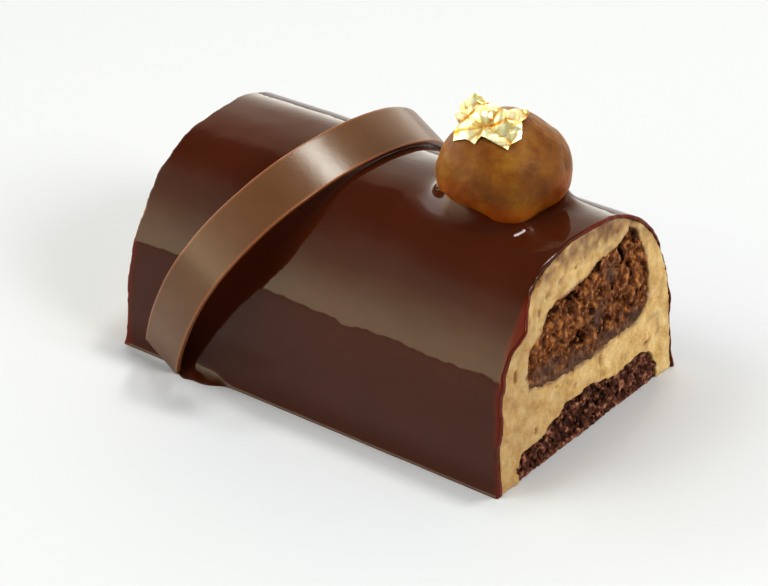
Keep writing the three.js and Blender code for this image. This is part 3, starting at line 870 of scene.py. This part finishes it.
# Height under which the chestnut's colour turns a deeper orange, and over which it does
LOWER_ORANGE_TOP, LOWER_ORANGE_FADE = 50.5, 8
# Bulges at its foot: direction and height in degrees, size, half width and half height in degrees
BULGES = [(-41, -32, 2.4, 22, 24), (30, -28, 1.3, 24, 22)]


def chestnut_point(way, grow):
    """Points of the chestnut's skin in the directions `way`, `grow` further out."""
    u, v, w = way.T
    lumps = 1 + CHESTNUT_LUMP * noise(u * 1.4 + 4, v * 1.4 + 4, w * 1.4 + 9)
    small = noise(u * 4 + 4, v * 4 + 4, w * 4 + 2)
    lumps = lumps + CHESTNUT_LUMP * CHESTNUT_SMALL_LUMP * small
    radii = CHESTNUT_RADII[None, :] * lumps[:, None]
    around = np.degrees(np.arctan2(v, u))
    raised = np.degrees(np.arcsin(np.clip(w, -1, 1)))
    for turn, lift, out, width, height in BULGES:
        grow = grow + out * spot(around, raised, turn, lift, width, height)
    return CHESTNUT + (radii + grow[:, None]) * way + CHESTNUT_SLANT * w[:, None]


def make_chestnut():
    shape = bmesh.new()
    bmesh.ops.create_icosphere(shape, subdivisions=CHESTNUT_SUBDIVISIONS, radius=1.0)
    way = np.array([v.co[:] for v in shape.verts])
    faces = np.array([[v.index for v in f.verts] for f in shape.faces])
    shape.free()
    way /= np.linalg.norm(way, axis=1, keepdims=True)
    u, v, w = way.T
    grow = CHESTNUT_GRAIN * layers_of_noise(u, v, w, CHESTNUT_GRAIN_SCALE, octaves=4, seed=6.0)
    points = chestnut_point(way, grow)
    low = (LOWER_ORANGE_TOP - points[:, 2]) / LOWER_ORANGE_FADE + 0.5 * noise(u * 2.6, v * 2.6, w * 2.6)
    new_piece("candied_chestnut", points, faces, chestnut_material(), "chestnut",
              {"low": np.clip(low, 0, 1)})


# Gold leaf

LEAF_RINGS, LEAF_SECTORS = 60, 300
LEAF_INNERMOST = 0.015
LEAF_THICKNESS = 0.05
LEAF_TEAR = 0.07
LEAF_MIDDLE = np.array([-2.0, 7.8])
LEAF_SHIFT = np.array([-1.15, -0.35])
# Corners of the torn leaf, to the right of and above the chestnut's middle as the camera sees them
LEAF_CORNERS = np.array([
    (4.7, 9.1), (5.35, 10.25), (4.67, 10.6), (3.5, 10.6), (2.36, 10.4), (1.2, 9.86),
    (-0.15, 10.25), (-1.1, 11.6), (-2.66, 12.56), (-4.2, 13.7), (-5.75, 13.34), (-7.87, 12.2),
    (-8.16, 11.2), (-8.55, 9.5), (-7.7, 7.9), (-8.84, 6.4), (-8.65, 4.65), (-6.3, 4.84),
    (-4.9, 3.88), (-3.8, 5.4), (-1.1, 3.88), (1.0, 2.8), (1.7, 3.9), (3.5, 5.0), (3.8, 8.7),
])
# Creases, as direction in degrees, wavelength, height and phase
LEAF_FOLDS = [
    (99, 3.9, 0.75, 0.15), (57, 5.6, 0.65, 0.40), (131, 3.3, 0.40, 0.7), (12, 4.1, 0.35, 0.2),
    (76, 1.7, 0.12, 0.5), (158, 1.3, 0.07, 0.1),
]
FOLD_BEND, FOLD_BEND_SCALE = 0.25, 4
# Folds higher than this get shade painted into their valleys, of this half width
VALLEY_FROM, VALLEY_HALF = 0.38, 0.32
# The leaf stands off the chestnut, higher towards its upper corners, and never closer than a least
LEAF_HEIGHT, LEAF_RISE, LEAF_RISE_START, LEAF_RISE_WIDTH, LEAF_LEAST = 0.25, 0.95, 5, 3.5, 0.12
# Half width, half height and radius of the chestnut as the camera sees it, the share of them over
# which the leaf lies on it, and how steeply it hangs beyond
SEEN_WIDTH, SEEN_HEIGHT, SEEN_RADIUS, LYING_SHARE, HANG = 12.5, 11.4, 12, 0.86, 0.9


def folds(right, up):
    """Height of the leaf's creases, and how near their valleys are for painted shade: sharp waves
    that cross.
    """
    bend = [wave(right, up, FOLD_BEND, FOLD_BEND_SCALE, seed) for seed in (4.0, 9.0)]
    bent_right, bent_up = right + bend[0], up + bend[1]
    total, valley_shade = 0.0, 0.0
    for degrees, wavelength, height, phase in LEAF_FOLDS:
        a = math.radians(degrees)
        t = (bent_right * math.cos(a) + bent_up * math.sin(a)) / wavelength + phase
        total = total + height * (1 - 2 * np.abs(2 * (t - np.floor(t)) - 1)) * 0.5
        if height > VALLEY_FROM:
            away = np.abs(t - np.round(t)) * wavelength
            strength = 0.7 + wave(right, up, height=0.6, scale=2.1, seed=degrees)
            valley_shade = np.maximum(valley_shade, np.exp(-(away / VALLEY_HALF) ** 2) * strength)
    return total, valley_shade


def on_chestnut(right, up, back_axis, right_axis, up_axis):
    """Directions from the chestnut's middle to its skin, for places that the camera sees."""
    held = right[:, None] * right_axis + up[:, None] * up_axis
    p, q = held / CHESTNUT_RADII, back_axis / CHESTNUT_RADII
    half = p @ q
    root = np.sqrt(np.maximum(half ** 2 - (q @ q) * ((p * p).sum(1) - 1), 0))
    out = (-half + root) / (q @ q)
    way = (held + out[:, None] * back_axis) / CHESTNUT_RADII
    return way / np.linalg.norm(way, axis=1, keepdims=True)


def make_leaf():
    corners = np.vstack([LEAF_CORNERS, LEAF_CORNERS[:1]])
    sides = np.linalg.norm(np.diff(corners, axis=0), axis=1)
    walked = np.concatenate([[0], np.cumsum(sides)])
    even = np.linspace(0, walked[-1], LEAF_SECTORS, endpoint=False)
    edge = np.stack([np.interp(even, walked, corners[:, i]) for i in (0, 1)], -1)
    edge = edge + LEAF_TEAR * np.stack([noise(even * 1.9, 0.5, seed) for seed in (3.0, 8.0)], -1)
    share = np.linspace(LEAF_INNERMOST, 1, LEAF_RINGS)[:, None, None]
    flat = (LEAF_MIDDLE + share * (edge - LEAF_MIDDLE)).reshape(-1, 2)
    standing = np.clip((flat[:, 1] - LEAF_RISE_START) / LEAF_RISE_WIDTH, 0, 1)
    standing = standing * standing * (3 - 2 * standing)
    height = LEAF_HEIGHT + LEAF_RISE * standing
    drawn_in = SEEN_RADIUS / (SEEN_RADIUS + height)
    right, up = (LEAF_SHIFT + flat * drawn_in[:, None]).T
    back_axis = np.array(direction(CAMERA_AZIMUTH, CAMERA_ELEVATION))
    right_axis = np.array([math.cos(CAMERA_AZIMUTH), math.sin(CAMERA_AZIMUTH), 0])
    up_axis = np.cross(back_axis, right_axis)
    rim = np.hypot(right / SEEN_WIDTH, up / SEEN_HEIGHT)
    kept = np.minimum(1, LYING_SHARE / np.maximum(rim, 0.01))
    way = on_chestnut(right * kept, up * kept, back_axis, right_axis, up_axis)
    beyond = (1 - kept)[:, None] * (right[:, None] * right_axis + up[:, None] * up_axis)
    beyond = beyond - back_axis * (HANG * np.linalg.norm(beyond, axis=1))[:, None]
    fold, crease_shade = folds(right, up)
    lift = np.maximum(height + fold * (0.5 + 0.5 * standing), LEAF_LEAST)
    shape = (LEAF_RINGS, LEAF_SECTORS, 3)
    under = (chestnut_point(way, lift) + beyond).reshape(shape)
    over = (chestnut_point(way, lift + LEAF_THICKNESS) + beyond).reshape(shape)[::-1]
    points = np.concatenate([under, over]).reshape(-1, 3)
    last = len(points) - LEAF_SECTORS
    ring = np.arange(LEAF_SECTORS)
    following = (ring + 1) % LEAF_SECTORS
    closing = np.stack([last + ring, last + following, following, ring], -1)
    faces = np.concatenate([tube_faces(2 * LEAF_RINGS, LEAF_SECTORS), closing])
    crease_shade = np.concatenate([crease_shade, crease_shade.reshape(LEAF_RINGS, -1)[::-1].ravel()])
    new_piece("gold_leaf_foil", points, faces, leaf_material(), "gold_leaf",
              {"crease_shade": crease_shade}, smooth=False)


# Chocolate arch

ARCH_STEPS = 420
STRIP_BEVEL, STRIP_CORNER_STEPS, STRIP_FLAT_STEPS = 0.22, 6, 22
# How far the strip's long edges wander, and over how many steps
WANDER, WANDER_STEPS = 0.10, 9.0
# Painted highlight along the long edges: how far in from them it starts, and how far it takes to be
# full
EDGE_HIGHLIGHT_REACH, EDGE_HIGHLIGHT_FADE = 0.55, 0.45


def arch_line():
    """The strip's outer line in its plane, evenly spaced: two legs that toe in, a rounded top."""
    start = ARCH_WIDTH / 2 * math.tan(ARCH_LEAN)
    leg = np.linspace(start, ARCH_LEG, 60)[:-1]
    toe = ARCH_TOE_IN * ((ARCH_LEG - leg) / ARCH_LEG) ** 2
    angle = np.linspace(0, math.pi, 600)
    power = 2 / ARCH_ROUNDNESS
    side = np.cos(angle)
    reach = np.sign(side) * np.abs(side) ** power
    top = ARCH_LEG + ARCH_RISE * np.abs(np.sin(angle)) ** power
    across = np.concatenate([toe, ARCH_HALF_SPAN * (1 - reach), (2 * ARCH_HALF_SPAN - toe)[::-1]])
    up = np.concatenate([leg, top, leg[::-1]])
    length = np.concatenate([[0], np.cumsum(np.hypot(np.diff(across), np.diff(up)))])
    even = np.linspace(0, length[-1], ARCH_STEPS)
    return np.interp(even, length, across), np.interp(even, length, up)


def strip_section():
    """The strip's section, with soft corners: across its width and into its thickness."""
    half, bevel = ARCH_WIDTH / 2, STRIP_BEVEL
    corner = np.linspace(0, math.pi / 2, STRIP_CORNER_STEPS)
    cos, sin = np.cos(corner), np.sin(corner)
    flat = np.linspace(-half + bevel, half - bevel, STRIP_FLAT_STEPS)[1:-1]
    side = np.concatenate([-half + bevel - bevel * cos, flat, half - bevel + bevel * sin])
    depth = np.concatenate([bevel - bevel * sin, np.zeros(len(flat)), bevel - bevel * cos])
    side = np.concatenate([side, side[::-1]])
    depth = np.concatenate([depth, ARCH_THICKNESS - depth[::-1]])
    return side, depth


def make_arch():
    across, up = arch_line()
    way_across, way_up = np.gradient(across), np.gradient(up)
    length = np.hypot(way_across, way_up)
    way_across, way_up = way_across / length, way_up / length
    across_axis = np.array([math.sin(ARCH_TURN), math.cos(ARCH_TURN), 0])
    width_axis = np.array([
        math.cos(ARCH_TURN) * math.cos(ARCH_LEAN),
        -math.sin(ARCH_TURN) * math.cos(ARCH_LEAN),
        -math.sin(ARCH_LEAN),
    ])
    up_axis = np.cross(width_axis, across_axis)
    side, depth = strip_section()
    step = np.arange(ARCH_STEPS)[:, None] / WANDER_STEPS
    at_edge = np.sign(side)[None, :] * (np.abs(side) > ARCH_WIDTH * 0.45)
    sides = side[None, :] + WANDER * noise(step, 0.5, 1.5) * at_edge
    a = across[:, None] + way_up[:, None] * depth[None, :]
    b = up[:, None] - way_across[:, None] * depth[None, :]
    points = ARCH_FOOT + sides[..., None] * width_axis + a[..., None] * across_axis
    points = (points + b[..., None] * up_axis).reshape(-1, 3)
    outer = depth < ARCH_THICKNESS * 0.6
    # Painted highlight on the outer face near the long edges
    edge_highlight = np.clip((np.abs(side) - ARCH_WIDTH / 2 + EDGE_HIGHLIGHT_REACH) / EDGE_HIGHLIGHT_FADE, 0, 1) * outer
    new_piece("chocolate_strip", points, folded_tube(ARCH_STEPS, len(side)), chocolate_material(),
              "chocolate_arch", {"edge": np.tile(edge_highlight, ARCH_STEPS)})


# Studio: camera, floor, room and lights. Directions are given as the camera's is.

FLOOR_HALF, FLOOR_ROUGHNESS = 2.5, 0.6
# Area lights, as name, azimuth and elevation in degrees, side in metres, power in watts, colour,
# and whether the cake mirrors them
LIGHTS = [
    ("back_light", 150, 70, 0.20, 3.6, (0.99, 1.03, 0.97), True),
    ("top_light", -140, 73, 0.22, 1.5, (1.0, 1.0, 1.0), True),
    ("front_light", -44, 51, 0.50, 3.5, (0.97, 1.0, 1.0), False),
    ("side_light", 84, 36, 0.40, 5.6, (1.0, 1.0, 0.98), True),
]
LIGHT_DISTANCE = 1.2
LIGHT_AIM = Vector((0, 0, 0.03))
# The room as four sides, each as colours by the sine of the height over the horizon and as its
# share by azimuth: front left, left, back left and right
ROOM_STRENGTH = 2.5
ROOM = [
    ([(0.0, (2.4, 2.3, 1.75)), (0.14, (2.3, 2.2, 1.65)), (0.26, (1.85, 1.85, 1.42)),
      (0.42, (1.3, 1.33, 1.05)), (0.56, (0.80, 0.86, 0.74)), (0.68, (0.58, 0.66, 0.60)),
      (0.77, (0.30, 0.33, 0.32)), (0.84, 0.12), (1.0, 0.1)],
     [(-90, 0.0), (-62, 1.0), (-16, 1.0), (-2, 0.4), (14, 0.08), (75, 0.05), (90, 0.0),
      (270, 0.0)]),
    ([(0.0, 1.8), (0.60, 1.8), (0.68, 0.5), (0.77, 0.12), (1.0, 0.1)],
     [(-90, 1.0), (-70, 0.7), (-55, 0.0), (230, 0.0), (250, 0.8), (270, 1.0)]),
    ([(0.0, (2.0, 2.05, 1.9)), (0.22, (1.3, 1.3, 1.18)), (0.36, (1.0, 0.97, 0.89)),
      (0.53, (0.74, 0.68, 0.59)), (0.69, (0.58, 0.50, 0.41)), (0.715, (0.44, 0.37, 0.32)),
      (0.735, 0.13), (1.0, 0.1)],
     [(-90, 0.0), (165, 0.0), (195, 1.0), (230, 1.0), (250, 0.0), (270, 0.0)]),
    ([(0.0, (0.8, 0.78, 0.72)), (0.45, (0.8, 0.78, 0.72)), (0.62, 0.3), (0.75, 0.1), (1.0, 0.1)],
     [(-90, 0.0), (62, 0.0), (84, 0.9), (100, 1.0), (160, 1.0), (190, 0.0), (270, 0.0)]),
]


def make_camera():
    data = bpy.data.cameras.new("camera")
    data.lens = CAMERA_LENS
    data.sensor_width = CAMERA_SENSOR
    data.clip_start, data.clip_end = 0.01, 20.0
    camera = new_object("camera", data)
    back = Vector(direction(CAMERA_AZIMUTH, CAMERA_ELEVATION))
    camera.location = CAMERA_TARGET + back * CAMERA_DISTANCE
    camera.rotation_mode = "QUATERNION"
    camera.rotation_quaternion = (-back).to_track_quat("-Z", "Y")
    bpy.context.scene.camera = camera


def make_floor():
    mesh = bpy.data.meshes.new("floor")
    half = FLOOR_HALF
    corners = [(-half, -half, 0), (half, -half, 0), (half, half, 0), (-half, half, 0)]
    mesh.from_pydata(corners, [], [(0, 1, 2, 3)])
    material = bpy.data.materials.new("floor")
    material.use_nodes = True
    tree = material.node_tree
    settle(tree, tree.nodes["Principled BSDF"],
           {"Base Color": FLOOR_COLOUR, "Roughness": FLOOR_ROUGHNESS})
    mesh.materials.append(material)
    new_object("floor", mesh)


def make_light(name, azimuth, elevation, side, power, colour, mirrored):
    """A square area light that faces the cake."""
    data = bpy.data.lights.new(name, "AREA")
    data.shape = "RECTANGLE"
    data.size, data.size_y = side, side
    data.energy = power
    data.color = colour
    light = new_object(name, data)
    back = Vector(direction(math.radians(azimuth), math.radians(elevation)))
    light.location = LIGHT_AIM + back * LIGHT_DISTANCE
    light.rotation_mode = "QUATERNION"
    light.rotation_quaternion = back.to_track_quat("Z", "Y")
    light.visible_glossy = mirrored


def make_world():
    """A room, bright low down on the left and the right, dim overhead and behind the camera."""
    world = bpy.data.worlds.new("studio")
    bpy.context.scene.world = world
    world.use_nodes = True
    tree = world.node_tree
    coords = tree.nodes.new("ShaderNodeTexCoord")
    split = tree.nodes.new("ShaderNodeSeparateXYZ")
    around = tree.nodes.new("ShaderNodeTexGradient")
    around.gradient_type = "RADIAL"
    for node in (split, around):
        settle(tree, node, {"Vector": coords.outputs["Generated"]})
    room = None
    for heights, bearings in ROOM:
        stops = [(z, tuple(c / ROOM_STRENGTH for c in rgb(v))) for z, v in heights]
        colour = ramp(tree, split.outputs["Z"], *stops)
        stops = [((azimuth + 90) / 360, v) for azimuth, v in bearings]
        share = ramp(tree, around.outputs["Fac"], *stops)
        side = mix(tree, 1.0, colour, share, "MULTIPLY")
        room = mix(tree, 1.0, room, side, "ADD") if room else side
    settle(tree, tree.nodes["Background"], {"Color": room, "Strength": ROOM_STRENGTH})


view = bpy.context.scene.view_settings
view.view_transform = "Standard"
view.look = "High Contrast"
make_camera()
make_floor()
make_world()
for light in LIGHTS:
    make_light(*light)

make_glaze()
make_mousse()
make_sponge()
make_base()
make_chestnut()
make_leaf()
make_arch()
